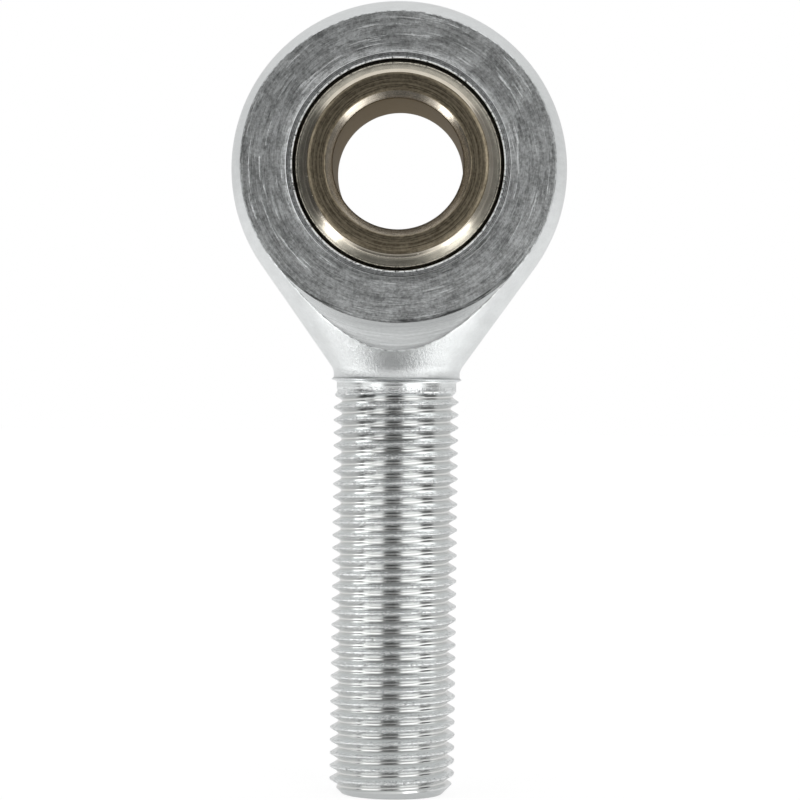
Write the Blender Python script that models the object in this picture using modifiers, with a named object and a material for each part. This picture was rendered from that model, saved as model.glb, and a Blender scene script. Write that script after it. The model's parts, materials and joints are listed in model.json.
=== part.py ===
"""Male rod end bearing: a threaded body with an eye, a race, a sliding liner and a bored ball.

The shank stands on the origin and points up +Z to the eye. The bore of the ball lies along Y.
All sizes are in metres.
"""

import math

import bpy

# Ball: a sphere cut off by two flat faces and bored through for the bolt.
BORE_DIAMETER = 0.0127
BALL_DIAMETER = 0.0238
BALL_WIDTH = 0.015875
BORE_CHAMFER = 0.0006
BALL_EDGE_BREAK = 0.0003

# Liner and race: the thin layers between the ball and the eye.
RUNNING_CLEARANCE = 0.00006
LINER_THICKNESS = 0.0002
LINER_INSET = 0.0001
RACE_EDGE_WIDTH = 0.00045
RACE_MIDDLE_WALL = 0.0009
RACE_BAND_WIDTH = 0.005
SEAT_CLEARANCE = 0.00005

# Body: a ball-shaped head with two milled flats, a conical neck and the shank.
HEAD_DIAMETER = 0.0333
BODY_WIDTH = 0.0127
CENTRE_TO_END = 0.0619
FACE_RIM = 0.00025
RUNOUT_ANGLE_DEG = 20.5
NECK_HALF_ANGLE_DEG = 35.5
NECK_DIAMETER = 0.0126
NECK_FILLET = 0.0016
NECK_LAND = 0.00015
LIP_DIAMETER = 0.0130
LIP_WIDTH = 0.0006
SHANK_DIAMETER = 0.0125
SHANK_END_CHAMFER = 0.00125

# Facets round a turned piece, and the largest angle between points on an arc.
TURN_STEPS = 64
ARC_STEP_DEG = 5.5
AXIS_MERGE = 0.00001
SHARP_ANGLE_DEG = 30

STEEL_PLATED = ("plated_steel", (0.72, 0.73, 0.73), 0.32, 1.0)
STEEL_RACE = ("race_steel", (0.66, 0.66, 0.65), 0.28, 1.0)
LINER_DARK = ("liner_fabric", (0.03, 0.028, 0.025), 0.7, 0.0)
BALL_PLATED = ("ball_plating", (0.62, 0.58, 0.50), 0.2, 1.0)


def clear_scene():
    """Empty the startup scene."""
    for obj in list(bpy.data.objects):
        bpy.data.objects.remove(obj)


def new_collection(name):
    collection = bpy.data.collections.new(name)
    bpy.context.scene.collection.children.link(collection)
    return collection


def new_material(finish):
    """A metal or plain finish as one Principled BSDF."""
    name, colour, roughness, metallic = finish
    material = bpy.data.materials.new(name)
    material.use_nodes = True
    shader = material.node_tree.nodes["Principled BSDF"]
    shader.inputs["Base Color"].default_value = (*colour, 1.0)
    shader.inputs["Roughness"].default_value = roughness
    shader.inputs["Metallic"].default_value = metallic
    return material


def arc(centre, radius, start_deg, end_deg):
    """Points on an arc in the profile plane, both ends included."""
    count = max(1, math.ceil(abs(end_deg - start_deg) / ARC_STEP_DEG))
    points = []
    for i in range(count + 1):
        angle = math.radians(start_deg + (end_deg - start_deg) * i / count)
        points.append((centre[0] + radius * math.cos(angle), centre[1] + radius * math.sin(angle)))
    return points


def sphere_band(radius, half_width):
    """The arc of a sphere's outline between two planes, from the upper plane to the lower."""
    latitude = math.degrees(math.asin(half_width / radius))
    return arc((0.0, 0.0), radius, latitude, -latitude)


def turned(name, profile, ring, collection, along_bore):
    """Turn a profile of (radius, height) points about its axis.

    An open profile starts and ends on the axis. A ring's profile closes on itself. The axis
    is the shank's, or the bore's if along_bore is set, and both pass through the eye's centre.
    """
    count = len(profile)
    vertices = [(radius, 0.0, height) for radius, height in profile]
    edges = [(i, i + 1) for i in range(count - 1)]
    if ring:
        edges.append((count - 1, 0))
    mesh = bpy.data.meshes.new(name)
    mesh.from_pydata(vertices, edges, [])
    obj = bpy.data.objects.new(name, mesh)
    collection.objects.link(obj)
    obj.location = (0.0, 0.0, CENTRE_TO_END)
    if along_bore:
        obj.rotation_euler = (math.pi / 2, 0.0, 0.0)
    screw = obj.modifiers.new("turn", "SCREW")
    screw.axis = "Z"
    screw.steps = TURN_STEPS
    screw.render_steps = TURN_STEPS
    screw.use_merge_vertices = True
    screw.merge_threshold = AXIS_MERGE
    return obj


def as_cutter(obj):
    """Keep a cutter out of the finished part."""
    obj.hide_render = True
    obj.display_type = "WIRE"
    return obj


def cut(obj, cutter):
    boolean = obj.modifiers.new(cutter.name, "BOOLEAN")
    boolean.operation = "DIFFERENCE"
    boolean.object = cutter


def finish(obj, material):
    """Settle the modifiers into the mesh, shade it smooth with crisp edges and colour it."""
    bpy.context.view_layer.update()
    graph = bpy.context.evaluated_depsgraph_get()
    mesh = bpy.data.meshes.new_from_object(obj.evaluated_get(graph))
    mesh.name = obj.name
    obj.modifiers.clear()
    obj.data = mesh
    mesh.shade_smooth()
    mesh.set_sharp_from_angle(angle=math.radians(SHARP_ANGLE_DEG))
    mesh.materials.append(material)


def liner_inner_radius():
    return BALL_DIAMETER / 2 + RUNNING_CLEARANCE


def race_inner_radius():
    return liner_inner_radius() + LINER_THICKNESS + RUNNING_CLEARANCE


def race_outline(clearance):
    """The outer side of the race from its upper edge to its lower: taper, band, taper."""
    half_width = BODY_WIDTH / 2
    inner_edge = math.sqrt(race_inner_radius() ** 2 - half_width**2)
    edge_radius = inner_edge + RACE_EDGE_WIDTH + clearance
    band_radius = race_inner_radius() + RACE_MIDDLE_WALL + clearance
    half_band = RACE_BAND_WIDTH / 2
    return [
        (edge_radius, half_width),
        (band_radius, half_band),
        (band_radius, -half_band),
        (edge_radius, -half_width),
    ]


def make_ball(collection):
    """The ball: a polished band, two flat faces with a broken edge, and the chamfered bore."""
    half_width = BALL_WIDTH / 2
    bore = BORE_DIAMETER / 2
    flat_radius = math.sqrt((BALL_DIAMETER / 2) ** 2 - half_width**2) - BALL_EDGE_BREAK
    band = sphere_band(BALL_DIAMETER / 2, half_width - BALL_EDGE_BREAK / 2)
    profile = [(flat_radius, half_width)]
    profile += band
    profile += [
        (flat_radius, -half_width),
        (bore + BORE_CHAMFER, -half_width),
        (bore, -half_width + BORE_CHAMFER),
        (bore, half_width - BORE_CHAMFER),
        (bore + BORE_CHAMFER, half_width),
    ]
    ball = turned("ball", profile, True, collection, True)
    finish(ball, new_material(BALL_PLATED))


def make_liner(collection):
    """The liner: a thin spherical layer that the ball slides on."""
    half_width = BODY_WIDTH / 2 - LINER_INSET
    outer = sphere_band(liner_inner_radius() + LINER_THICKNESS, half_width)
    inner = sphere_band(liner_inner_radius(), half_width)
    liner = turned("liner", outer + inner[::-1], True, collection, True)
    finish(liner, new_material(LINER_DARK))


def make_race(collection):
    """The race: spherical inside, tapered towards both faces outside, so that the eye holds it."""
    inner = sphere_band(race_inner_radius(), BODY_WIDTH / 2)
    race = turned("race", race_outline(0.0) + inner[::-1], True, collection, True)
    finish(race, new_material(STEEL_RACE))


def body_profile():
    """The body's outline about the shank: head, neck cone, fillet, land, rolled lip, shank."""
    head = HEAD_DIAMETER / 2
    slope = math.radians(NECK_HALF_ANGLE_DEG)
    neck = NECK_DIAMETER / 2
    lip = LIP_DIAMETER / 2
    shank = SHANK_DIAMETER / 2
    # The cone is tangent to the head, and would meet the neck at this height.
    tangent_radius = head * math.cos(slope)
    tangent_height = -head * math.sin(slope)
    corner = tangent_height - (tangent_radius - neck) / math.tan(slope)
    fillet_end = corner - NECK_FILLET * math.tan(slope / 2)
    lip_top = fillet_end - NECK_LAND
    profile = arc((0.0, 0.0), head, 90.0, -NECK_HALF_ANGLE_DEG)
    profile += arc((neck + NECK_FILLET, fillet_end), NECK_FILLET, 180.0 - NECK_HALF_ANGLE_DEG, 180.0)
    profile += [
        (neck, lip_top),
        (lip, lip_top - LIP_WIDTH / 2),
        (shank, lip_top - LIP_WIDTH),
        (shank, SHANK_END_CHAMFER - CENTRE_TO_END),
        (shank - SHANK_END_CHAMFER, -CENTRE_TO_END),
        (0.0, -CENTRE_TO_END),
    ]
    return profile


def make_flat_cutter(name, side, collection):
    """One facing cut about the bore: a flat, then a flank that runs out in the neck."""
    face = BODY_WIDTH / 2
    head = HEAD_DIAMETER / 2
    face_radius = math.sqrt(head**2 - face**2) - FACE_RIM
    reach = (head - face) / math.tan(math.radians(RUNOUT_ANGLE_DEG))
    profile = [
        (0.0, head),
        (face_radius + reach, head),
        (face_radius, face),
        (0.0, face),
    ]
    if side < 0:
        profile = [(radius, -height) for radius, height in reversed(profile)]
    return as_cutter(turned(name, profile, False, collection, True))


def make_seat_cutter(collection):
    """The hole that holds the race: the race's own outline with its clearance, open at both faces."""
    outline = race_outline(SEAT_CLEARANCE)
    past_face = HEAD_DIAMETER / 2
    mouth = outline[0][0]
    profile = [(0.0, past_face), (mouth, past_face)]
    profile += outline
    profile += [(mouth, -past_face), (0.0, -past_face)]
    return as_cutter(turned("eye_seat_cutter", profile, False, collection, True))


def make_body(collection, cutters):
    """The body, turned about the shank, then milled flat on both sides and bored for the race."""
    body = turned("rod_end_body", body_profile(), False, collection, False)
    cut(body, make_flat_cutter("front_flat_cutter", 1, cutters))
    cut(body, make_flat_cutter("back_flat_cutter", -1, cutters))
    cut(body, make_seat_cutter(cutters))
    finish(body, new_material(STEEL_PLATED))


def main():
    clear_scene()
    parts = new_collection("rod_end_bearing")
    cutters = new_collection("cutters")
    make_body(parts, cutters)
    make_race(parts)
    make_liner(parts)
    make_ball(parts)


main()
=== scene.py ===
# %% [markdown]
# # A rod end bearing
#
# A rod end joins a rod to a bolt. Its threaded shank screws into the rod, and the bolt goes through a
# bored ball that turns and tilts in the eye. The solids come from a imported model, and this lesson gives
# each of them its real surface: the rolled thread, the tool marks of the facing cut, the plating.

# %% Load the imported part
import json
import math

import bmesh
import bpy
import numpy as np
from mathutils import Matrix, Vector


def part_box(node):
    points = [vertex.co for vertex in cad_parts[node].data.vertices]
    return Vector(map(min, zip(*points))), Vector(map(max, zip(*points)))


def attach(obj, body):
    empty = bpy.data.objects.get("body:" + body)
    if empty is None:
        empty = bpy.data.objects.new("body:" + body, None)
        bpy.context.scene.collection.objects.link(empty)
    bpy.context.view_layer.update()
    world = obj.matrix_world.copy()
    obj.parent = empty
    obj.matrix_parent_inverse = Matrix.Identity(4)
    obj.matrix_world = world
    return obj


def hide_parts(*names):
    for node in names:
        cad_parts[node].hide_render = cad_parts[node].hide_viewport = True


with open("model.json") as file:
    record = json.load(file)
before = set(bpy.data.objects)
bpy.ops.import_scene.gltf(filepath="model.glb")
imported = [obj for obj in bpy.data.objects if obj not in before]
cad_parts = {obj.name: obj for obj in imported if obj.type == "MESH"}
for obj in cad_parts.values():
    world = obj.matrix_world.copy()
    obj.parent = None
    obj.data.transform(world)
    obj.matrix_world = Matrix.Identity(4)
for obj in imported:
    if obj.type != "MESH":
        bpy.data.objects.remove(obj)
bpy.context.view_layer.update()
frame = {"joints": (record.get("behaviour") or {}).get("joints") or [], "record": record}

# %% [markdown]
# The driving sizes are read from the solids, so the surfaces land exactly on them. All heights below are
# measured from the eye's centre, which is where the two joint axes cross, and each piece is lifted to its
# place when its mesh is made.

# %% Sizes from the solids
MM = 0.001
EYE_CENTRE = np.array(frame["joints"][0]["pos_m"])
HEAD_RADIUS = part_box("rod_end_body")[1].z - EYE_CENTRE[2]
FACE_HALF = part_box("race")[1].y
BALL_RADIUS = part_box("ball")[1].x
BALL_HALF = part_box("ball")[1].y
END_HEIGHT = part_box("rod_end_body")[0].z - EYE_CENTRE[2]
print(f"head {HEAD_RADIUS / MM:.2f} mm and ball {BALL_RADIUS / MM:.2f} mm in radius")
print(f"the shank ends {-END_HEIGHT / MM:.1f} mm below the eye's centre")

# %% [markdown]
# Every surface here is a grid: an array of rows and columns of points. One helper numbers the quads of
# such a grid. Another joins several grids into one mesh, welds the points that they share, turns all faces
# outwards, and hands the piece to the body that it rides on. Blender's modifiers could make most of these
# shapes too, but on a grid every point follows from a formula, and neighbouring grids meet exactly.

# %% From grids to a piece
WELD = 0.0002 * MM
CREASE_DEG = 40


def grid_quads(rows, columns):
    """Corner numbers of a grid's quads: each point with its neighbours below, across and to the right."""
    corner = np.arange(rows * columns).reshape(rows, columns)
    around = [corner[:-1, :-1], corner[1:, :-1], corner[1:, 1:], corner[:-1, 1:]]
    return np.stack(around, axis=-1).reshape(-1, 4)


def fill_mesh(mesh, patches):
    """Puts grids of points, each with the number of its finish, into a mesh."""
    sizes = [patch.shape[0] * patch.shape[1] for patch, _ in patches]
    starts = np.cumsum([0] + sizes[:-1])
    quads = [grid_quads(*patch.shape[:2]) + start for (patch, _), start in zip(patches, starts)]
    finish = [np.full(len(quad), mark) for quad, (_, mark) in zip(quads, patches)]
    points = np.concatenate([patch.reshape(-1, 3) for patch, _ in patches]) + EYE_CENTRE
    corners = np.concatenate(quads)
    mesh.vertices.add(len(points))
    mesh.vertices.foreach_set("co", points.astype(np.float32).ravel())
    mesh.loops.add(corners.size)
    mesh.loops.foreach_set("vertex_index", corners.ravel())
    mesh.polygons.add(len(corners))
    mesh.polygons.foreach_set("loop_start", np.arange(0, corners.size, 4))
    mesh.polygons.foreach_set("material_index", np.concatenate(finish))
    mesh.update(calc_edges=True)


def close_skin(mesh):
    """Welds the grids' shared points and turns the faces outwards. Returns how many edges stay open."""
    skin = bmesh.new()
    skin.from_mesh(mesh)
    bmesh.ops.remove_doubles(skin, verts=skin.verts, dist=WELD)
    bmesh.ops.recalc_face_normals(skin, faces=skin.faces)
    open_edges = sum(not edge.is_manifold for edge in skin.edges)
    skin.to_mesh(mesh)
    skin.free()
    return open_edges


def new_piece(name, node, patches, finishes):
    """One closed piece from grids, in place of a solid and riding on that solid's body."""
    mesh = bpy.data.meshes.new(name)
    fill_mesh(mesh, patches)
    open_edges = close_skin(mesh)
    mesh.shade_smooth()
    mesh.set_sharp_from_angle(angle=math.radians(CREASE_DEG))
    for finish in finishes:
        mesh.materials.append(finish)
    piece = bpy.data.objects.new(name, mesh)
    bpy.context.scene.collection.objects.link(piece)
    bodies = frame["record"]["behaviour"]["bodies"]
    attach(piece, next(body for body, nodes in bodies.items() if node in nodes))
    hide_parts(node)
    mesh.calc_loop_triangles()
    print(f"{name}: {len(mesh.loop_triangles)} triangles, {open_edges} open edges")


# %% [markdown]
# ## The body
#
# The blank was turned about the shank: a sphere for the head, a cone tangent to it for the neck. Then a
# tool facing about the bore cut a flat on each side. Where the neck is thicker than the tool's reach, the
# cut runs out in a sloping flank, which shows as a pale crescent under the eye. A Boolean would give these
# cuts, but with ragged triangles along the edge, just where the light catches. So the edge of each face is
# found first, where the two surfaces meet, by halving an interval for all angles at once.

# %% The edge between the cuts
FACE_RIM = 0.03 * MM
RUNOUT_SLOPE = math.tan(math.radians(22.0))
NECK_ANGLE = math.radians(35.5)
NECK_SLOPE = math.tan(NECK_ANGLE)
TANGENT_RADIUS = HEAD_RADIUS * math.cos(NECK_ANGLE)
TANGENT_HEIGHT = -HEAD_RADIUS * math.sin(NECK_ANGLE)
FACE_RADIUS = math.sqrt(HEAD_RADIUS**2 - FACE_HALF**2) - FACE_RIM
NEAREST_EDGE = 0.98 * FACE_RADIUS
FARTHEST_EDGE = 22 * MM
HALVINGS = 40
EDGE_STEPS = 160


def turned_radius(height):
    """Radius of the blank at a height: the sphere's, and under its tangent the cone's."""
    sphere = np.sqrt(np.maximum(HEAD_RADIUS**2 - height**2, 0.0))
    cone = TANGENT_RADIUS + (height - TANGENT_HEIGHT) * NECK_SLOPE
    return np.where(height > TANGENT_HEIGHT, sphere, np.maximum(cone, 0.0))


def faced_half(radius):
    """Half thickness left by the facing cut at a distance from the bore: flat, then a rising flank."""
    return FACE_HALF + np.maximum(radius - FACE_RADIUS, 0.0) * RUNOUT_SLOPE


def edge_radius(angle):
    """Distance from the bore at which the facing cut leaves the blank, by halving."""
    near = np.full_like(angle, NEAREST_EDGE)
    far = np.full_like(angle, FARTHEST_EDGE)
    for _ in range(HALVINGS):
        middle = (near + far) / 2
        across = np.hypot(middle * np.cos(angle), faced_half(middle))
        inside = across < turned_radius(middle * np.sin(angle))
        near = np.where(inside, middle, near)
        far = np.where(inside, far, middle)
    return (near + far) / 2


edge_angle = np.radians(np.linspace(90.0, -90.0, EDGE_STEPS + 1))
edge = edge_radius(edge_angle)
print(f"face edge: {edge[0] / MM:.2f} mm above the bore, {edge[-1] / MM:.2f} mm below it")

# %% [markdown]
# A real edge is never quite sharp, and the thin line of light along it says so. A Bevel modifier would
# round it, but its width suffers where the edge turns sharply. Here the edge is rounded by a quadratic
# curve: it leaves the face a little inside the corner, uses the corner as its handle, and lands a little
# way down the turned side.

# %% The rounded edge
EDGE_ROUND = 0.09 * MM
ROUND_SHARES = np.array([0.25, 0.5, 0.75])
LEVEL_RUN = (1.0, 0.0, 0.0)


def faced_point(angle, radius):
    """A point of the front face at an angle and a distance about the bore."""
    return np.stack([radius * np.cos(angle), -faced_half(radius), radius * np.sin(angle)], axis=-1)


def unit(vectors):
    """Each vector divided by its own length."""
    return vectors / np.linalg.norm(vectors, axis=-1, keepdims=True)


def turned_normal(points):
    """Outward direction of the blank: level part by the radius, upright part by its slope."""
    level = np.hypot(points[:, 0], points[:, 1])
    on_sphere = points[:, 2] > TANGENT_HEIGHT
    upright = np.where(on_sphere, points[:, 2] / level, -NECK_SLOPE)
    return unit(np.stack([points[:, 0] / level, points[:, 1] / level, upright], axis=-1))


def side_start(corner):
    """The edge moved a little down the turned side, square to its own run, and back onto the blank.

    At its two ends the edge crosses the middle of the face, and there its run is level.
    """
    run = np.gradient(corner, axis=0)
    run[[0, -1]] = LEVEL_RUN
    away = unit(np.cross(run, turned_normal(corner)))
    away *= np.where(away[:, 1:2] > 0, 1.0, -1.0)
    moved = corner + EDGE_ROUND * away
    shrink = turned_radius(moved[:, 2]) / np.hypot(moved[:, 0], moved[:, 1])
    moved[:, :2] *= shrink[:, None]
    return moved


def bend(first, handle, last, shares):
    """A quadratic curve: first by (1 - share) squared, last by share squared, handle by what is left."""
    share = shares[:, None]
    return (1 - share) ** 2 * first + share**2 * last + 2 * share * (1 - share) * handle


corner = faced_point(edge_angle, edge)
face_edge = faced_point(edge_angle, edge - EDGE_ROUND)
side_edge = side_start(corner)
edge_rows = bend(face_edge[:, None], corner[:, None], side_edge[:, None], ROUND_SHARES)
print("edge rows:", edge_rows.shape)

# %% [markdown]
# The turned side between the two faces is a set of strips. Each strip runs from the front edge to the back
# edge in a plane along the bore, and such a plane cuts a sphere, or a level plane a cone, in an exact
# circle. At the top the strip goes over the crown. From the tangent down, the strips lie level, so the
# lowest one is half a turn round the neck, and everything below it can be plain rings.

# %% The turned sides
STRIP_STEPS = 64


def side_strips(start):
    """Arcs from each front point to its mirror at the back.

    In the strip's plane the circle's centre lies the start's own distance inwards, its radius is the
    start's distance from that centre, and the arc spans the same angle on both sides of the middle.
    """
    height = start[:, 2]
    tangent = np.interp(TANGENT_HEIGHT, height[::-1], edge_angle[::-1])
    lean = np.clip((edge_angle - tangent) / (edge_angle[0] - tangent), 0.0, 1.0) * edge_angle[0]
    inwards = -(start[:, 0] * np.cos(lean) + height * np.sin(lean))
    radius = np.hypot(inwards, start[:, 1])
    half_arc = np.arctan2(-start[:, 1], -inwards)
    turn = half_arc[:, None] * np.linspace(-1.0, 1.0, STRIP_STEPS + 1)
    out = inwards[:, None] + radius[:, None] * np.cos(turn)
    x = start[:, :1] + out * np.cos(lean)[:, None]
    z = start[:, 2:] + out * np.sin(lean)[:, None]
    return np.stack([x, radius[:, None] * np.sin(turn), z], axis=-1)


right_side = side_strips(side_edge)
right_edge = np.concatenate([face_edge[:, None], edge_rows, side_edge[:, None]], axis=1)
print("right side:", right_side.shape)

# %% [markdown]
# Over the crown the head is a little tighter than a ball: its outline from the front stays round, but the
# faces end lower there. Each point moves towards the bore, most at the faces and not at all in the middle.

# %% The crown
CROWN_EASE = 0.39 * MM
CROWN_FROM, CROWN_FULL = math.radians(20.0), math.radians(75.0)


def smooth_step(value):
    """0 below 0, 1 above 1, and three squares less two cubes between."""
    share = np.clip(value, 0.0, 1.0)
    return share * share * (3 - 2 * share)


crown = CROWN_EASE * smooth_step((edge_angle - CROWN_FROM) / (CROWN_FULL - CROWN_FROM))


def ease_crown(points):
    """Moves each row towards the bore by its share of the easing times the square of the depth."""
    distance = np.hypot(points[..., 0], points[..., 2])
    shift = crown[:, None] * (points[..., 1] / FACE_HALF) ** 2
    scale = 1.0 - shift / distance
    return points * np.stack([scale, np.ones_like(scale), scale], axis=-1)


right_side = ease_crown(right_side)
right_edge = ease_crown(right_edge)
print(f"crown eased by up to {crown.max() / MM:.2f} mm")

# %% [markdown]
# Inside the eye, the seat follows the race that it holds: tapered from both faces to a band in the middle,
# with the edge of its mouth rounded. It is an outline of radius and depth carried round the bore, at the
# same angles as the face's edge, so that seat and face share their points.

# %% The seat
BALL_GAP = 0.06 * MM
LINER_WALL = 0.2 * MM
RACE_EDGE = 0.45 * MM
RACE_WALL = 0.9 * MM
RACE_BAND = 2.5 * MM
SEAT_GAP = 0.05 * MM
SEAT_ROUND = 0.06 * MM
RACE_RADIUS = BALL_RADIUS + BALL_GAP + LINER_WALL + BALL_GAP
MOUTH = math.sqrt(RACE_RADIUS**2 - FACE_HALF**2) + RACE_EDGE + SEAT_GAP
SEAT_RADIUS = RACE_RADIUS + RACE_WALL + SEAT_GAP


def from_behind(outline):
    """The mirror image of an outline of radius and depth, in reversed order."""
    return np.array(outline)[::-1] * (1, -1)


def seat_outline():
    """The seat from the front mouth to the back one, with the mouth's edge rounded."""
    taper = (SEAT_RADIUS - MOUTH) / (FACE_HALF - RACE_BAND)
    lip_end = (MOUTH + taper * SEAT_ROUND, SEAT_ROUND - FACE_HALF)
    lip_middle = (MOUTH + SEAT_ROUND / 4, SEAT_ROUND / 4 - FACE_HALF)
    front = [(MOUTH + SEAT_ROUND, -FACE_HALF), lip_middle, lip_end, (SEAT_RADIUS, -RACE_BAND)]
    return np.concatenate([front, from_behind(front)])


def about_bore(outline, angle):
    """Radius and depth at angles about the bore: across by the cosine, up by the sine."""
    x = outline[:, 0] * np.cos(angle[:, None])
    z = outline[:, 0] * np.sin(angle[:, None])
    return np.stack([x, np.broadcast_to(outline[:, 1], x.shape), z], axis=-1)


right_seat = about_bore(seat_outline(), edge_angle)
print(f"seat: {right_seat.shape}, mouth {MOUTH / MM:.2f} mm in radius")

# %% [markdown]
# The face itself is a fan of rows about the bore: flat from the seat to the run-out, then the flank up to
# the rounded edge. Rows close to the bend keep its shading tight, and rows past the edge fall onto it and
# are welded.

# %% The faces
BEND_ROW = 0.05 * MM
FLAT_ROWS = 8
FLANK_ROWS = 6


def face_rows():
    """Distances of the face's rows from the bore: even over the flat, then along the flank."""
    flat = np.linspace(MOUTH + SEAT_ROUND, FACE_RADIUS - BEND_ROW, FLAT_ROWS - 1)
    flat = np.append(flat, FACE_RADIUS)
    flank_start = FACE_RADIUS + BEND_ROW
    flank_length = (edge - EDGE_ROUND - flank_start)[:, None]
    flank = flank_start + flank_length * np.linspace(0.0, 1.0, FLANK_ROWS)
    rows = np.concatenate([np.broadcast_to(flat, (len(edge), flat.size)), flank], axis=1)
    return np.minimum(rows, (edge - crown - EDGE_ROUND)[:, None])


rows = face_rows()
front_face = faced_point(edge_angle[:, None], rows[:, :FLAT_ROWS])
front_flank = faced_point(edge_angle[:, None], rows[:, FLAT_ROWS - 1 :])
print("face:", front_face.shape, "flank:", front_flank.shape)

# %% [markdown]
# Under the crescent the neck is a plain turned shape: the rest of the cone, a fillet, and the small rolled
# lip where the thread dies pushed metal up. A turned shape is a profile carried round the shank, as a
# Screw modifier would do it. Done here, its top ring has the same points as the lowest strips.

# %% The neck
NECK_RADIUS = 6.25 * MM
NECK_FILLET = 1.6 * MM
LIP_RADIUS = 6.45 * MM
LIP_DROP = 0.45 * MM
LIP_START = 0.05 * MM
LIP_REACH = 0.14 * MM
BLANK_RADIUS = 5.93 * MM
COLLAR = 0.8 * MM
CONE_ROWS, FILLET_ROWS, LIP_ROWS = 5, 12, 22
TURN = np.radians(np.linspace(-90.0, 270.0, 2 * STRIP_STEPS + 1))
cone_end = TANGENT_HEIGHT - (TANGENT_RADIUS - NECK_RADIUS) / NECK_SLOPE
fillet_end = cone_end - NECK_FILLET * math.tan(NECK_ANGLE / 2)
LIP_HEIGHT = fillet_end - LIP_DROP


def lip_radius(height):
    """A ridge between the neck above and the bare blank below, a bell curve of the height on both sides."""
    foot = np.where(height > 0, NECK_RADIUS, BLANK_RADIUS)
    return foot + (LIP_RADIUS - foot) * np.exp(-((height / LIP_REACH) ** 2))


def neck_profile():
    """Radius and height from the lowest strip down: cone, fillet, lip to three reaches down, collar."""
    turn = np.linspace(math.pi - NECK_ANGLE, math.pi, FILLET_ROWS)
    fillet = np.stack([np.cos(turn) + 1.0, np.sin(turn)], axis=-1) * NECK_FILLET
    fillet += (NECK_RADIUS, fillet_end)
    lowest = side_edge[-1, 2]
    share = np.linspace(0.0, 1.0, CONE_ROWS + 1)[:-1, None]
    cone = (1 - share) * (turned_radius(lowest), lowest) + share * fillet[0]
    above_lip = np.linspace(LIP_DROP - LIP_START, -3 * LIP_REACH, LIP_ROWS)
    lip = np.stack([lip_radius(above_lip), LIP_HEIGHT + above_lip], axis=-1)
    collar = np.array([(BLANK_RADIUS, LIP_HEIGHT - COLLAR)])
    return np.concatenate([cone, fillet, lip, collar])


def turned_about_shank(profile):
    """Carries radius and height round the shank, starting at the front."""
    radius, height = profile[:, :1], profile[:, 1:]
    x = radius * np.cos(TURN)
    return np.stack([x, radius * np.sin(TURN), np.broadcast_to(height, x.shape)], axis=-1)


profile = neck_profile()
neck = turned_about_shank(profile)
THREAD_TOP = profile[-1, 1]
print(f"neck: {neck.shape}, thread starts {-THREAD_TOP / MM:.2f} mm below the eye")

# %% [markdown]
# ## The thread
#
# The thread is rolled, so its crests stand above the bare blank and its roots lie below. Over one pitch it
# is a 60 degree V, blunt at the crest and rounded at the root. How much of the V is cut off at both, and
# how soft the corners are, is given in shares of the pitch. The rows stand closest where it bends.

# %% One groove
PITCH = 1.27 * MM
THREAD_SLOPE = math.tan(math.radians(60.0))
CREST_CUT = 0.11
ROOT_CUT = 0.16
CREST_SOFT = 0.018
ROOT_SOFT = 0.036
PHASES = np.array([0.0, 0.05, 0.085, 0.15, 0.30, 0.40, 0.46, 0.5, 0.54, 0.60, 0.70, 0.85, 0.915, 0.95])


def soft_limit(value, limit, soft):
    """The lesser of a value and a limit, bent softly: minus the log of the sum of their exponentials."""
    return -soft * np.logaddexp(-value / soft, -limit / soft)


def groove_depth(phase):
    """Depth under the crest: the distance to the nearest crest by the slope, limited at both ends."""
    wave = (0.25 - np.abs(phase - np.round(phase))) * THREAD_SLOPE
    top = 0.25 * THREAD_SLOPE - CREST_CUT * THREAD_SLOPE / 2
    bottom = 0.25 * THREAD_SLOPE - ROOT_CUT * THREAD_SLOPE / 2
    wave = soft_limit(wave, top, CREST_SOFT)
    wave = -soft_limit(-wave, bottom, ROOT_SOFT)
    return (np.max(wave) - wave) * PITCH


print(f"the groove is {groove_depth(PHASES).max() / MM:.2f} mm deep")

# %% [markdown]
# A screw thread could be swept along a helix, but then its start and end need patching. Here the grid is
# sheared instead: each column stands a little higher than the one before it, by one pitch in a full turn,
# so a row of points follows the helix by itself. The height is held between the thread's two ends, and all
# points that it holds back fall together and are welded. At the top the groove fades into the collar, and
# at the bottom a chamfer cuts it off.

# %% The sheared grid
CREST_RADIUS = 6.2 * MM
THREAD_FADE = 1.3 * MM
THREAD_START_TURN = -0.33
END_RADIUS = 5.0 * MM
END_ROWS = 7


def thread_grid():
    """The sheared grid: height falls with the row and rises one pitch round the columns."""
    turns = math.ceil((THREAD_TOP - END_HEIGHT) / PITCH) + 2
    depth = np.tile(groove_depth(PHASES), turns)[:, None]
    down = (np.arange(turns)[:, None] + PHASES).reshape(-1, 1)
    column = np.arange(2 * STRIP_STEPS + 1) / (2 * STRIP_STEPS)
    height = THREAD_TOP + (1.0 + THREAD_START_TURN - down + column) * PITCH
    height = np.clip(height, END_HEIGHT, THREAD_TOP)
    fade = smooth_step((THREAD_TOP - height) / THREAD_FADE)
    radius = BLANK_RADIUS + (CREST_RADIUS - depth - BLANK_RADIUS) * fade
    radius = np.minimum(radius, END_RADIUS + (height - END_HEIGHT))
    return np.stack([radius * np.cos(TURN), radius * np.sin(TURN), height], axis=-1)


thread = thread_grid()
end_radius = END_RADIUS * np.linspace(1.0, 0.0, END_ROWS)
end_profile = np.stack([end_radius, np.full_like(end_radius, END_HEIGHT)], axis=-1)
shank_end = turned_about_shank(end_profile)
print("thread:", thread.shape)

# %% [markdown]
# ## Finishes
#
# A finish turns a place on the object into a colour, a roughness and a relief. Its nodes could be placed by
# hand, but shader maths reads best as Python. A `Wire` is one output socket, and sums and products of wires
# add the Math nodes. Its `node` method adds any other node: settings first, then what goes on each socket.

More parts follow.
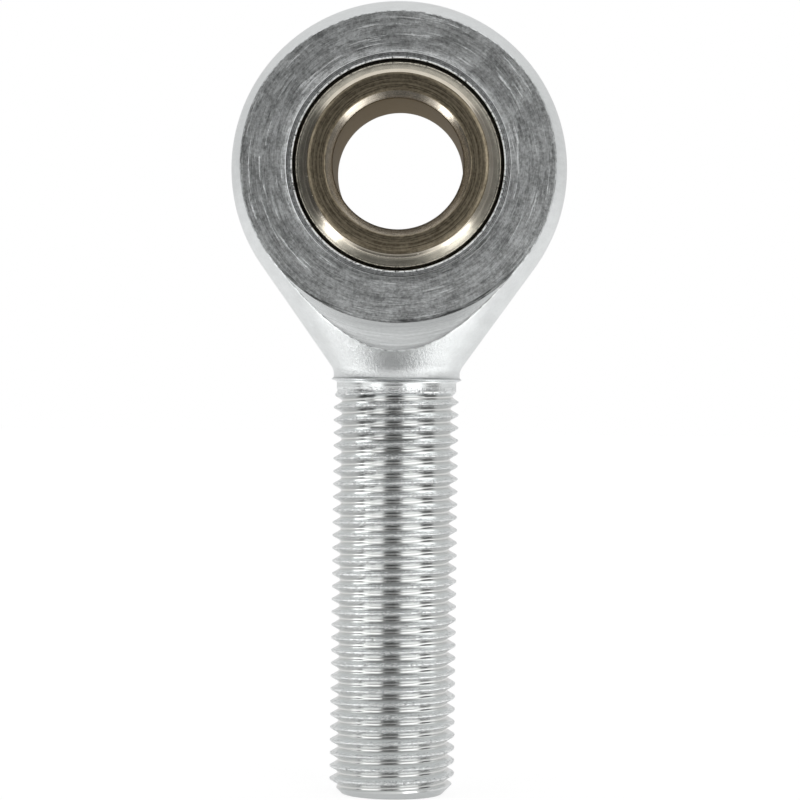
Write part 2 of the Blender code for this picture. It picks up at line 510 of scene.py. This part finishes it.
# %% Shader maths
class Wire:
    """One output socket of a node tree."""

    def __init__(self, tree, socket=None):
        self.tree = tree
        self.socket = socket

    def node(self, kind, settings=None, sockets=None, output=0):
        """Adds a node of any kind, and returns the wire of one of its outputs."""
        made = self.tree.nodes.new(kind)
        for name, setting in (settings or {}).items():
            setattr(made, name, setting)
        for key, value in (sockets or {}).items():
            if isinstance(value, Wire):
                self.tree.links.new(value.socket, made.inputs[key])
            else:
                made.inputs[key].default_value = value
        return Wire(self.tree, made.outputs[output] if made.outputs else None)

    def maths(self, operation, first, second=0.0):
        """Adds a Math node on two values, either of which may be a plain number."""
        return self.node("ShaderNodeMath", {"operation": operation}, {0: first, 1: second})

    def __add__(self, other):
        return self.maths("ADD", self, other)

    def __radd__(self, other):
        return self.maths("ADD", other, self)

    def __sub__(self, other):
        return self.maths("SUBTRACT", self, other)

    def __rsub__(self, other):
        return self.maths("SUBTRACT", other, self)

    def __mul__(self, other):
        return self.maths("MULTIPLY", self, other)

    def __rmul__(self, other):
        return self.maths("MULTIPLY", other, self)

    def __truediv__(self, other):
        return self.maths("DIVIDE", self, other)

    def __pow__(self, other):
        return self.maths("POWER", self, other)

    def rise(self, start, end):
        """A smooth step: 0 before start, 1 past end. With start above end it falls instead."""
        sockets = {"Value": self, "From Min": start, "From Max": end}
        return self.node("ShaderNodeMapRange", {"interpolation_type": "SMOOTHSTEP"}, sockets)

    def between(self, low, high, soft):
        """1 from low to high, and 0 outside, with soft edges."""
        return self.rise(low - soft, low + soft) * self.rise(high + soft, high - soft)

    def blend(self, first, second):
        """A colour between two colours, by this wire's value."""
        sockets = {0: self, 6: first, 7: second}
        return self.node("ShaderNodeMix", {"data_type": "RGBA"}, sockets, output=2)

    def noise(self, scale, detail=2.0, rough=0.5):
        """Smooth noise about 0.5 at this place, in features of about 1 / scale."""
        sockets = {"Vector": self, "Scale": scale, "Detail": detail, "Roughness": rough}
        return self.node("ShaderNodeTexNoise", None, sockets)

    def noise_line(self, scale, detail=2.0, rough=0.5):
        """The same noise along one number, which gives rings or bands."""
        sockets = {"W": self, "Scale": scale, "Detail": detail, "Roughness": rough}
        return self.node("ShaderNodeTexNoise", {"noise_dimensions": "1D"}, sockets)


# %% [markdown]
# Patterns on turned and milled metal follow the tool: rings about the axis that the work turned on. So a
# finish starts from the place on the object in millimetres, and from its distance to the bore's axis or the
# shank's axis. Noise over that distance gives rings, and a slower noise over the direction breaks them up.

# %% A finish and its coordinates
def grey(level):
    return (level, level, level, 1.0)


def zinc(level):
    """The plating's grey, a trace cooler than neutral."""
    return (0.975 * level, level, level, 1.0)


def new_finish(name):
    """An empty material, and a wire to start its nodes from."""
    material = bpy.data.materials.new(name)
    material.use_nodes = True
    material.node_tree.nodes.clear()
    return material, Wire(material.node_tree)


def place_in_mm(start):
    """The place on the object in mm from the eye's centre, as a vector and as its three numbers."""
    metres = start.node("ShaderNodeTexCoord", output="Object")
    centred = {0: metres, 1: tuple(EYE_CENTRE)}
    moved = start.node("ShaderNodeVectorMath", {"operation": "SUBTRACT"}, centred)
    scaled = {0: moved, "Scale": 1.0 / MM}
    place = start.node("ShaderNodeVectorMath", {"operation": "SCALE"}, scaled)
    return place, *[start.node("ShaderNodeSeparateXYZ", None, {0: place}, axis) for axis in "XYZ"]


def length_of(first, second):
    """The length of a right-angled pair: the root of the sum of squares."""
    return (first * first + second * second) ** 0.5


def streaks(start, radius, first, second, across, along):
    """Tool marks round an axis: noise that changes fast with the radius and slowly with the direction."""
    level = {0: radius * across, 1: first / radius * along, 2: second / radius * along}
    return start.node("ShaderNodeCombineXYZ", None, level).noise(1.0, detail=3.0, rough=0.65)


def metal(start, colour, roughness, height, depth, more=None):
    """Closes a metal finish: its colour and roughness, and a relief of the given depth in metres."""
    relief = {"Height": height, "Strength": 1.0, "Distance": depth}
    bumped = start.node("ShaderNodeBump", None, relief)
    sockets = {"Base Color": colour, "Roughness": roughness, "Metallic": 1.0, "Normal": bumped}
    shader = start.node("ShaderNodeBsdfPrincipled", None, sockets | (more or {}))
    start.node("ShaderNodeOutputMaterial", None, {"Surface": shader})


def counted(material):
    """Prints how many nodes a finish took, and hands it on."""
    print(f"{material.name}: {len(material.node_tree.nodes)} nodes")
    return material


# %% [markdown]
# The eye's two faces were cut by a tool that turned about the bore, so they carry fine marks round it, some
# of them deeper than the rest, and faint cloudy patches from the plating bath. Under the eye, where the
# face bends into the run-out, painted shade darkens the hollow of the bend, broken up by the tool marks.

# %% Faced metal
RUNOUT_RADIUS = round(FACE_RADIUS / MM, 2)


def faced_metal():
    """Grey plating over a facing cut: tool marks round the bore, scratches, mottling, dark pits and painted
    shade in the bend under the eye.
    """
    material, start = new_finish("faced_metal")
    place, x, y, z = place_in_mm(start)
    radius = length_of(x, z)
    fine = streaks(start, radius, x, z, 9.0, 9.0)
    broad = streaks(start, radius, x, z, 2.5, 4.0)
    scratches = streaks(start, radius, x, z, 5.0, 2.2).rise(0.60, 0.70)
    mottle = place.noise(3.2, detail=5.0, rough=0.72)
    clouds = place.noise(0.45, detail=3.0)
    pits = place.noise(5.5, detail=3.0, rough=0.7).rise(0.63, 0.72)
    shade = (0.26 * fine + 0.24 * broad + 0.36 * mottle + 0.14 * clouds).rise(0.37, 0.63)
    tone = shade.blend(zinc(0.245), zinc(0.86))
    scratched = (0.55 * scratches).blend(tone, zinc(0.95))
    under_eye = z.rise(-8.0, -12.0)
    # painted shade: a dark broken line in the hollow where the face bends into the run-out
    bend_shade = radius.between(RUNOUT_RADIUS - 0.30, RUNOUT_RADIUS + 0.12, 0.05) * under_eye
    pits_and_bend_shade = (0.5 * pits + 0.85 * bend_shade * broad.rise(0.42, 0.58)).blend(scratched, zinc(0.07))
    relief = fine + 0.8 * mottle - pits - scratches
    metal(start, pits_and_bend_shade, 0.24 + 0.14 * clouds, relief, 0.010 * MM)
    return material


faced = counted(faced_metal())

# %% [markdown]
# The crescent under the eye is the same cut on its way out of the metal. It slopes up towards the roof of
# the studio, so its colour is painted paler for the light it catches there, with a few soft lines, and
# painted shade darkens it close to the crease.

# %% Run-out metal
def flank_metal():
    """The run-out under the eye: painted paler than the face as light, with a few soft lines round the bore
    and painted shade near the crease.
    """
    material, start = new_finish("flank_metal")
    place, x, y, z = place_in_mm(start)
    radius = length_of(x, z)
    lines = streaks(start, radius, x, z, 3.0, 1.6)
    mottle = place.noise(3.2, detail=5.0, rough=0.7)
    shade = (0.65 * lines + 0.35 * mottle).rise(0.36, 0.64)
    # painted light: paler than the face for the light that the run-out catches from the roof
    tone = shade.blend(zinc(0.84), zinc(1.0))
    # painted shade: darker close to the crease
    shaded = (0.7 * radius.rise(RUNOUT_RADIUS + 1.4, RUNOUT_RADIUS)).blend(tone, zinc(0.66))
    metal(start, shaded, 0.20 + 0.1 * mottle, lines + 0.6 * mottle, 0.008 * MM)
    return material


flank = counted(flank_metal())

# %% [markdown]
# The head's sides and the neck were turned about the shank, then plated with the rest. The plating is
# bright and a little uneven, with fine turning lines along the height and small marks from handling. The
# neck is rougher than the head, the collar under the lip is smooth, and a dark line of painted shade lies
# in the crease just above the lip.

# %% Turned metal
def turned_metal():
    """Bright plating over turned metal: faint streaks round the shank, a soft unevenness, and painted shade
    in the crease above the lip.
    """
    material, start = new_finish("turned_metal")
    place, x, y, z = place_in_mm(start)
    lines = streaks(start, length_of(x, y) - z, x, y, 3.0, 5.0)
    uneven = place.noise(0.6, detail=3.0)
    mottle = place.noise(3.6, detail=4.0, rough=0.7)
    shade = (0.35 * lines + 0.3 * uneven + 0.35 * mottle).rise(0.3, 0.7)
    tone = shade.blend(zinc(0.78), zinc(0.92))
    above_lip = z - (LIP_HEIGHT / MM)
    # painted shade: a dark line in the crease just above the lip
    lip_crease_shade = (0.45 * above_lip.between(0.07, 0.17, 0.04)).blend(tone, zinc(0.16))
    neck = z.rise(-14.0, -16.0)
    collar = above_lip.rise(-0.05, -0.2)
    relief = (0.12 + 0.3 * neck) * lines + (0.12 + 1.7 * neck * (1.0 - collar)) * mottle
    metal(start, lip_crease_shade, 0.28 + 0.12 * uneven - 0.14 * collar, relief, 0.05 * MM)
    return material


turned = counted(turned_metal())

# %% [markdown]
# Along every edge the plating is rubbed and a trace of burr stands up. It catches light from all sides, so
# it shows as a thin broken bright line. Here the edge gets a finish of its own: pale, rough, full of nicks.

# %% Rubbed edge
def rubbed_edge():
    """Pale rough metal, broken by darker stretches."""
    material, start = new_finish("rubbed_edge")
    place, *_ = place_in_mm(start)
    nicks = place.noise(1.4, detail=4.0, rough=0.65)
    shade = nicks.rise(0.40, 0.58)
    metal(start, shade.blend(zinc(0.62), zinc(0.98)), 0.30 + 0.2 * shade, nicks, 0.010 * MM)
    return material


rubbed = counted(rubbed_edge())

# %% [markdown]
# The thread was rolled between dies, which leaves it bright and hard, with streaks along each turn and
# nicks on the crests. The grooves are darker towards the roots. The flank that faces down is darker than
# the other one, as painted shade. A surface's own direction tells the two apart, and the depth under the
# crest tells crest from root.

# %% Rolled metal
def rolled_metal():
    """Bright rolled metal: smooth grooves darker towards the roots, painted shade on the flanks that face
    down, crests rough and full of nicks.
    """
    material, start = new_finish("rolled_metal")
    place, x, y, z = place_in_mm(start)
    radius = length_of(x, y)
    under_crest = (CREST_RADIUS / MM) - radius
    crest = under_crest.rise(0.40, 0.18)
    deep = under_crest.rise(0.28, 0.64)
    normal = start.node("ShaderNodeNewGeometry", output="Normal")
    lower = start.node("ShaderNodeSeparateXYZ", None, {0: normal}, "Z").rise(-0.15, -0.75)
    lines = streaks(start, radius, x, y, 12.0, 6.0)
    grain = place.noise(4.0, detail=4.0, rough=0.7)
    pits = grain.rise(0.46, 0.34)
    sparks = grain.rise(0.52, 0.60)
    nicks = place.noise(2.6, detail=3.0, rough=0.7).rise(0.54, 0.62)
    shade = (0.6 * lines + 0.4 * grain).rise(0.3, 0.7)
    tone = shade.blend(zinc(0.90), zinc(0.98))
    # darker towards the roots
    darker_in_roots = (0.85 * deep).blend(tone, (0.80, 0.80, 0.785, 1.0))
    # painted shade: the flanks that face down are darker
    down_flank_shade = (0.75 * lower).blend(darker_in_roots, (0.60, 0.62, 0.625, 1.0))
    pitted = (0.6 * crest * pits).blend(down_flank_shade, zinc(0.35))
    sparkling = (crest * sparks).blend(pitted, grey(1.0))
    relief = 0.08 * lines + (0.04 + 0.5 * crest) * grain - 0.9 * crest * nicks
    metal(start, sparkling, 0.14 + 0.04 * shade + 0.06 * crest, relief, 0.10 * MM)
    return material


rolled = counted(rolled_metal())

# %% [markdown]
# The head is alike on its left and right, and at the front and the back, so only the right half of one face
# and the right side were worked out. Mirrored copies give the rest: the same points times -1 along one
# axis. A Mirror modifier would do that for the head, but the neck and the thread aren't mirrored, and all
# of it is one skin. Mirroring turns a grid inside out, which is put right when the skin is closed.

# %% Join the body
BACK = np.array([1.0, -1.0, 1.0])
LEFT = np.array([-1.0, 1.0, 1.0])
FACED, FLANK, TURNED, ROLLED, RUBBED = range(5)
one_face = [(front_face, FACED), (front_flank, FLANK), (right_edge, RUBBED)]
right_half = one_face + [(patch * BACK, finish) for patch, finish in one_face]
right_half += [(right_seat, TURNED), (right_side, TURNED)]
left_half = [(patch * LEFT, finish) for patch, finish in right_half]
shank = [(neck, TURNED), (thread, ROLLED), (shank_end, TURNED)]
body_finishes = [faced, flank, turned, rolled, rubbed]
new_piece("threaded_body", "rod_end_body", right_half + left_half + shank, body_finishes)

# %% [markdown]
# ## Race, liner and ball
#
# These three are turned about the bore. The race shows only its narrow bright edge, the liner a dark line
# inside it. Each is a closed outline, with its corners rounded as the body's edge is, carried round the
# bore in a closed ring.

# %% Rings about the bore
RING_STEPS = 256
RING_ANGLES = np.linspace(0.0, 2 * np.pi, RING_STEPS + 1)
CORNER_SHARES = np.linspace(0.0, 1.0, 5)


def rounded_outline(corners, cuts):
    """A closed outline with each corner replaced by a quadratic curve that starts one cut away from it."""
    cuts = np.array(cuts)[:, None]
    before = corners + cuts * unit(np.roll(corners, 1, axis=0) - corners)
    after = corners + cuts * unit(np.roll(corners, -1, axis=0) - corners)
    return bend(before[:, None], corners[:, None], after[:, None], CORNER_SHARES).reshape(-1, 2)


def turned_ring(outline):
    """Carries a closed outline of radius and depth round the bore, a row for each point of the outline."""
    closed = np.concatenate([outline, outline[:1]])
    return about_bore(closed, RING_ANGLES).swapaxes(0, 1)


def sphere_arc(radius, half_width, steps):
    """Radius and depth along a sphere's outline between two planes, back to front."""
    reach = math.asin(half_width / radius)
    lift = np.linspace(reach, -reach, steps + 1)
    return np.stack([radius * np.cos(lift), radius * np.sin(lift)], axis=-1)


# %% [markdown]
# The race is the hard ring that the ball is held in. Its edge is rolled a little over the liner, and the
# sharp inner rim of it is rubbed bright. Only that rim stands out: the rest of the edge is as grey as the
# eye's face. Inside the rim the race is painted near black, as shade in the gap by the ball.

# %% The race's finish
LIP_EDGE = 10.31 * MM


def ring_steel():
    """Grey metal with fine rings about the bore, a bright nicked rim at its inner edge, and painted
    near-black shade inside the rim.
    """
    material, start = new_finish("ring_steel")
    place, x, y, z = place_in_mm(start)
    radius = length_of(x, z)
    past_lip = radius - (LIP_EDGE / MM)
    rings = radius.noise_line(12.0, detail=2.0)
    grain = place.noise(3.5, detail=4.0, rough=0.7)
    rim = past_lip.rise(0.24, 0.14)
    shade = (0.5 * rings + 0.5 * grain).rise(0.36, 0.64)
    tone = shade.blend(zinc(0.10), zinc(0.46))
    bright = (rim * grain.rise(0.36, 0.52)).blend(tone, zinc(0.98))
    # painted shade: near black inside the rim, in the gap by the ball
    gap_shade_mask = past_lip.rise(0.03, 0.01)
    shaded = gap_shade_mask.blend(bright, zinc(0.03))
    metal(start, shaded, 0.30 + 0.1 * grain, rings + (1.5 + 6.0 * rim) * grain, 0.012 * MM)
    return material


ring = counted(ring_steel())

# %% [markdown]
# The race's outline runs over its outer side, tapered towards both faces, round the front lip, along the
# hollow sphere that the liner lies in, and round the back lip. The corners that show are rounded.

# %% The race
LIP_BACK = 6.13 * MM
RACE_ROUND = 0.10 * MM
HOLLOW_STEPS = 24
back_corners = [(MOUTH - SEAT_GAP, FACE_HALF), (RACE_RADIUS + RACE_WALL, RACE_BAND)]
race_outer = np.concatenate([back_corners, from_behind(back_corners)])
front_lip = np.array([(LIP_EDGE, -FACE_HALF), (LIP_EDGE, -LIP_BACK)])
race_inner = sphere_arc(RACE_RADIUS, LIP_BACK, HOLLOW_STEPS)[::-1]
race_corners = np.concatenate([race_outer, front_lip, race_inner, from_behind(front_lip)])
sharp = len(race_inner) + 2
race_cuts = [RACE_ROUND] * (len(race_outer) + 1) + [0.0] * sharp + [RACE_ROUND]
race_grid = turned_ring(rounded_outline(race_corners, race_cuts))
new_piece("bearing_race", "race", [(race_grid, 0)], [ring])

# %% [markdown]
# The liner is a thin dark layer that the ball slides on, and only its edge shows, in the gap between the
# ball and the race. Its outline is two arcs about one centre, joined at their ends. One band with a
# Solidify modifier would do as well, but its rims would lean with the sphere.

# %% The liner
LINER_HALF = 6.10 * MM
LINER_RADIUS = BALL_RADIUS + BALL_GAP
LINER_STEPS = 32


def liner_weave():
    """A near-black sliding layer with a faint weave in its surface."""
    material, start = new_finish("liner_weave")
    place, *_ = place_in_mm(start)
    weave = place.noise(6.0, detail=3.0)
    bumped = start.node("ShaderNodeBump", None, {"Height": weave, "Distance": 0.01 * MM})
    tone = weave.rise(0.3, 0.7).blend((0.010, 0.009, 0.008, 1.0), (0.035, 0.033, 0.028, 1.0))
    sockets = {"Base Color": tone, "Roughness": 0.55 + 0.2 * weave, "Normal": bumped}
    shader = start.node("ShaderNodeBsdfPrincipled", None, sockets)
    start.node("ShaderNodeOutputMaterial", None, {"Surface": shader})
    return material


liner_outer = sphere_arc(LINER_RADIUS + LINER_WALL, LINER_HALF, LINER_STEPS)
liner_inner = sphere_arc(LINER_RADIUS, LINER_HALF, LINER_STEPS)[::-1]
liner_grid = turned_ring(np.concatenate([liner_outer, liner_inner]))
new_piece("sliding_liner", "liner", [(liner_grid, 0)], [counted(liner_weave())])

# %% [markdown]
# The ball's band is polished, because it slides. The plating on it is warm, between nickel and brown, with
# a trace of fine lines round the bore and a few small nicks.

# %% The ball's band
def polished_band():
    """The ball's sliding band: polished warm plating with a trace of fine lines and small nicks."""
    material, start = new_finish("polished_band")
    place, x, y, z = place_in_mm(start)
    lines = streaks(start, length_of(x, z), x, z, 4.0, 3.0)
    haze = place.noise(0.8, detail=3.0)
    nicks = place.noise(1.6, detail=3.0, rough=0.7).rise(0.68, 0.72)
    shade = (0.5 * lines + 0.5 * haze).rise(0.3, 0.7)
    tone = shade.blend((0.78, 0.71, 0.59, 1.0), (0.91, 0.84, 0.71, 1.0))
    nicked = (0.6 * nicks).blend(tone, (0.98, 0.95, 0.86, 1.0))
    metal(start, nicked, 0.12 + 0.08 * shade, 0.3 * lines + nicks, 0.006 * MM)
    return material


polished = counted(polished_band())

# %% [markdown]
# The ball's two end faces and its bore are only turned, so they are darker and carry rings. A glossy
# chamfer leads into the bore. Seen edge-on, most metals go white, but this brown plating doesn't, and the
# shader's tint for light that grazes the surface says so.

# %% The ball's faces and bore
BORE_RADIUS = 6.35 * MM
ENTRY = 0.75 * MM
BROWN_EDGE_ON = (0.38, 0.34, 0.285, 1.0)


def turned_brown():
    """The ball's faces and bore: brown plating with rings on the flats, glossy on the bore's chamfer."""
    material, start = new_finish("turned_brown")
    place, x, y, z = place_in_mm(start)
    radius = length_of(x, z)
    rings = radius.noise_line(5.5, detail=3.0, rough=0.7)
    lines = streaks(start, radius + 0.7 * y, x, z, 7.0, 2.0)
    mottle = place.noise(3.5, detail=4.0, rough=0.7)
    past_wall = radius - (BORE_RADIUS / MM)
    entry = past_wall.rise(ENTRY / MM - 0.05, ENTRY / MM - 0.13)
    wall = past_wall.rise(0.06, 0.0)
    shade = (0.42 * rings + 0.33 * lines + 0.25 * mottle).rise(0.38, 0.62)
    flat = shade.blend((0.105, 0.085, 0.055, 1.0), (0.34, 0.292, 0.21, 1.0))
    chamfer = entry.blend(flat, shade.blend((0.60, 0.54, 0.45, 1.0), (0.78, 0.71, 0.60, 1.0)))
    bore = wall.blend(chamfer, shade.blend((0.14, 0.112, 0.076, 1.0), (0.23, 0.187, 0.13, 1.0)))
    roughness = 0.26 + 0.1 * mottle - 0.10 * entry + 0.16 * wall
    edge_on = {"Specular Tint": BROWN_EDGE_ON}
    metal(start, bore, roughness, lines + 0.4 * mottle, 0.008 * MM, edge_on)
    return material


brown = counted(turned_brown())

# %% [markdown]
# The ball's outline has no sharp corner. A chamfer with eased edges leads into the bore, and between the
# band and the flat the corner is eased by a curve that leaves the sphere along its tangent. The front half
# is worked out from the middle of the bore to the band, and the back half is its mirror image.

# %% The ball
ENTRY_EASE = 0.12 * MM
BAND_END = 9.2 * MM
EASE_SHARES = np.linspace(0.0, 1.0, 9)
EASE_SPLIT = 5
WALL_ROWS = 4
BAND_STEPS = 48
inner = np.array([BORE_RADIUS, ENTRY - BALL_HALF])
outer = np.array([BORE_RADIUS + ENTRY, -BALL_HALF])
step = ENTRY_EASE * unit(outer - inner)
wall_end = inner + (0.0, ENTRY_EASE)
wall_depth = np.arange(WALL_ROWS) / WALL_ROWS * wall_end[1]
wall = np.stack([np.full(WALL_ROWS, BORE_RADIUS), wall_depth], axis=-1)
into_bore = bend(wall_end, inner, inner + step, EASE_SHARES)
onto_flat = bend(outer - step, outer, outer + (ENTRY_EASE, 0.0), EASE_SHARES)

band_half = math.sqrt(BALL_RADIUS**2 - BAND_END**2)
tangent_run = (BALL_HALF - band_half) * BALL_RADIUS / BAND_END
handle = BAND_END - tangent_run * band_half / BALL_RADIUS
flat_end = (handle - tangent_run, -BALL_HALF)
ease = bend(flat_end, (handle, -BALL_HALF), (BAND_END, -band_half), EASE_SHARES)

front = np.concatenate([wall, into_bore, onto_flat, ease[:EASE_SPLIT]])
faces = np.concatenate([from_behind(front), front])
band = sphere_arc(BALL_RADIUS, band_half, BAND_STEPS)[::-1]
outline = np.concatenate([faces, ease[EASE_SPLIT:], band, from_behind(ease[EASE_SPLIT:])])
ball_grid = turned_ring(outline)
POLISHED, BROWN = range(2)
ball_patches = [(ball_grid[: len(faces)], BROWN), (ball_grid[len(faces) - 1 :], POLISHED)]
new_piece("bored_ball", "ball", ball_patches, [polished, brown])

# %% [markdown]
# ## Studio
#
# The camera stands close to the object and looks at it along the bore, from a little to the right and
# turned back towards it. It is level, so the shank's edges stay parallel, and rolled by less than a degree.
# The lens follows from the width that is to be seen at the object's distance.

# %% Camera
CAMERA_DISTANCE = 280 * MM
AIM_ASIDE = 0.36 * MM
CAMERA_ASIDE = 4.8 * MM
CAMERA_HEIGHT = 39.02 * MM
VIEW_WIDTH = 79.5 * MM
CAMERA_ROLL_DEG = 0.72
camera_yaw = math.atan2(CAMERA_ASIDE, CAMERA_DISTANCE)
camera_data = bpy.data.cameras.new("camera")
camera_data.sensor_width = 36.0
camera_data.lens = camera_data.sensor_width * CAMERA_DISTANCE / VIEW_WIDTH
camera_data.clip_start = 10 * MM
camera_data.clip_end = 20.0
camera = bpy.data.objects.new("camera", camera_data)
camera.location = (AIM_ASIDE + CAMERA_ASIDE, -CAMERA_DISTANCE, CAMERA_HEIGHT)
camera.rotation_euler = (math.pi / 2, -math.radians(CAMERA_ROLL_DEG), camera_yaw)
bpy.context.scene.collection.objects.link(camera)
bpy.context.scene.camera = camera
bpy.context.scene.view_settings.view_transform = "Standard"
print(f"lens {camera_data.lens:.0f} mm at {CAMERA_DISTANCE / MM:.0f} mm")

# %% [markdown]
# Metal shows what stands round it, so its light is built like a photographer's tent: two soft panels in
# front, a dark gap between them where the camera stands, dark gaps beside them, a pale backdrop and a pale
# roof. Lamps could stand for the panels, but the world alone is enough: its brightness is a formula of the
# direction, by the bearing from the camera in degrees and by the height. The camera sees plain white.

# %% The light tent
FRONT_GAP = 0.03
SIDE_GAP = 0.06
LEFT_LEVEL = 1.65
RIGHT_LEVEL = 1.85
BACKDROP = 0.7
OVERHEAD = 0.75
GAP_SOFT = 4.5
LEFT_PANEL = (-70.0, -25.0)
RIGHT_PANEL = (16.0, 59.5)
BACKDROP_FROM = (-80.0, 90.0)
ROOF_OVER_PANELS = (0.30, 0.62)
ROOF_OVER_GAPS = (0.50, 0.78)


def light_tent():
    """Brightness by direction: a pale backdrop, two panels in front, dark gaps beside and between them."""
    world = bpy.data.worlds.new("light_tent")
    world.use_nodes = True
    world.node_tree.nodes.clear()
    start = Wire(world.node_tree)
    direction = start.node("ShaderNodeTexCoord", output="Generated")
    x, y, z = [start.node("ShaderNodeSeparateXYZ", None, {0: direction}, axis) for axis in "XYZ"]
    bearing = start.maths("ARCTAN2", x, 0.0 - y) * math.degrees(1.0)
    left = bearing.between(*LEFT_PANEL, GAP_SOFT)
    right = bearing.between(*RIGHT_PANEL, GAP_SOFT)
    middle = bearing.between(LEFT_PANEL[1], RIGHT_PANEL[0], GAP_SOFT)
    behind = 1.0 - bearing.between(*BACKDROP_FROM, GAP_SOFT)
    sides = 1.0 - left - right - middle - behind
    panels = LEFT_LEVEL * left + RIGHT_LEVEL * right
    level = panels + FRONT_GAP * middle + SIDE_GAP * sides + BACKDROP * behind
    dark = middle + sides
    overhead = z.rise(*ROOF_OVER_PANELS) * (1.0 - dark) + z.rise(*ROOF_OVER_GAPS) * dark
    light = level * (1.0 - overhead) + OVERHEAD * overhead
    seen = start.node("ShaderNodeLightPath", output="Is Camera Ray")
    shown = light * (1.0 - seen) + seen
    background = start.node("ShaderNodeBackground", None, {"Color": grey(1.0), "Strength": shown})
    start.node("ShaderNodeOutputWorld", None, {"Surface": background})
    return world


bpy.context.scene.world = light_tent()
print("panels in degrees from the camera:", LEFT_PANEL, RIGHT_PANEL)

# %% [markdown]
# The object stands on a wide sheet of white paper. Lit paper alone would come out grey, so to the camera
# the sheet glows for the most part, and the part that doesn't keeps the shadow. The metal mirrors less of
# that glow, and all other light meets plain paper.

# %% The floor
FLOOR_REACH = 3.0
FLOOR_GLOW = 0.8
MIRROR_GLOW = 0.4
GLOW_STRENGTH = 1.10


def floor_white():
    """Paper with a share of white glow: large to the camera, smaller in the metal, none to other light."""
    material, start = new_finish("floor_white")
    paper = start.node("ShaderNodeBsdfDiffuse", None, {"Color": grey(0.9)})
    glow = start.node("ShaderNodeEmission", None, {"Color": grey(1.0), "Strength": GLOW_STRENGTH})
    seen = start.node("ShaderNodeLightPath", output="Is Camera Ray")
    mirrored = start.node("ShaderNodeLightPath", output="Is Glossy Ray")
    shown = FLOOR_GLOW * seen + MIRROR_GLOW * mirrored
    shader = start.node("ShaderNodeMixShader", None, {0: shown, 1: paper, 2: glow})
    start.node("ShaderNodeOutputMaterial", None, {"Surface": shader})
    return material


def flat_card(name, low, high, finish):
    """A rectangle of the studio between two opposite corners, level or upright."""
    first = next(axis for axis in range(3) if low[axis] != high[axis])
    corners = np.array([low, low, high, high])
    corners[[1, 3], first] = high[first], low[first]
    mesh = bpy.data.meshes.new(name)
    mesh.from_pydata(corners.tolist(), [], [(0, 1, 2, 3)])
    mesh.materials.append(finish)
    card = bpy.data.objects.new(name, mesh)
    bpy.context.scene.collection.objects.link(card)
    return card


flat_card("floor", (-FLOOR_REACH, -FLOOR_REACH, 0.0), (FLOOR_REACH, FLOOR_REACH, 0.0), floor_white())
print(f"floor {2 * FLOOR_REACH:.0f} m wide")

# %% [markdown]
# Shiny metal looks flat if all that it mirrors is white. Photographers stand cards round it, just out of
# the picture: a small black one under the neck gives its dark patch, black flags beside the eye give the
# ball its dark sides, and bright ones on the table give it its gleam. These cards show only in reflections.
# Each has two opposite corners in millimetres and a glow.

# %% Cards beside the object
CARD_SOFT = 0.1
CARDS = {
    "black_card": ((-18.0, -19.0, 33.0), (11.0, -6.6, 33.0), 0.12),
    "near_card": ((-46.0, -84.0, 1.0), (30.0, -8.0, 1.0), 0.32),
    "front_card": ((-44.0, -270.0, 1.5), (22.0, -60.0, 1.5), 0.09),
    "left_card": ((-85.0, -56.0, 1.0), (-49.0, 10.0, 1.0), 4.4),
    "right_card": ((32.0, -56.0, 1.0), (88.0, 14.0, 1.0), 2.4),
    "far_left_card": ((-100.0, -150.0, 1.0), (-44.0, -70.0, 1.0), 1.8),
    "far_right_card": ((44.0, -150.0, 1.0), (100.0, -70.0, 1.0), 1.8),
    "left_flag": ((-27.0, -30.0, 38.0), (-27.0, 0.0, 88.0), 0.06),
    "right_flag": ((27.0, -30.0, 38.0), (27.0, 0.0, 88.0), 0.19),
}


def card_finish(name, low, high, level):
    """An even glow, or near black, that fades out at the edges. A level card shows only from above."""
    material, start = new_finish(name)
    metres = start.node("ShaderNodeTexCoord", output="Object")
    inside = 1.0
    if low[2] == high[2]:
        inside = 1.0 - start.node("ShaderNodeNewGeometry", output="Backfacing")
    for axis, near, far in zip("XYZ", low, high):
        if near != far:
            soft = CARD_SOFT * (far - near)
            place = start.node("ShaderNodeSeparateXYZ", None, {0: metres}, axis) * (1.0 / MM)
            inside = place.between(near + soft, far - soft, soft) * inside
    clear = start.node("ShaderNodeBsdfTransparent")
    glow = start.node("ShaderNodeEmission", None, {"Color": grey(1.0), "Strength": level})
    shader = start.node("ShaderNodeMixShader", None, {0: inside, 1: clear, 2: glow})
    start.node("ShaderNodeOutputMaterial", None, {"Surface": shader})
    return material


for name, (low, high, level) in CARDS.items():
    card = flat_card(name, *(np.array([low, high]) * MM), card_finish(name, low, high, level))
    card.visible_camera = False
    card.visible_diffuse = False
    card.visible_shadow = False
print("cards:", ", ".join(CARDS))
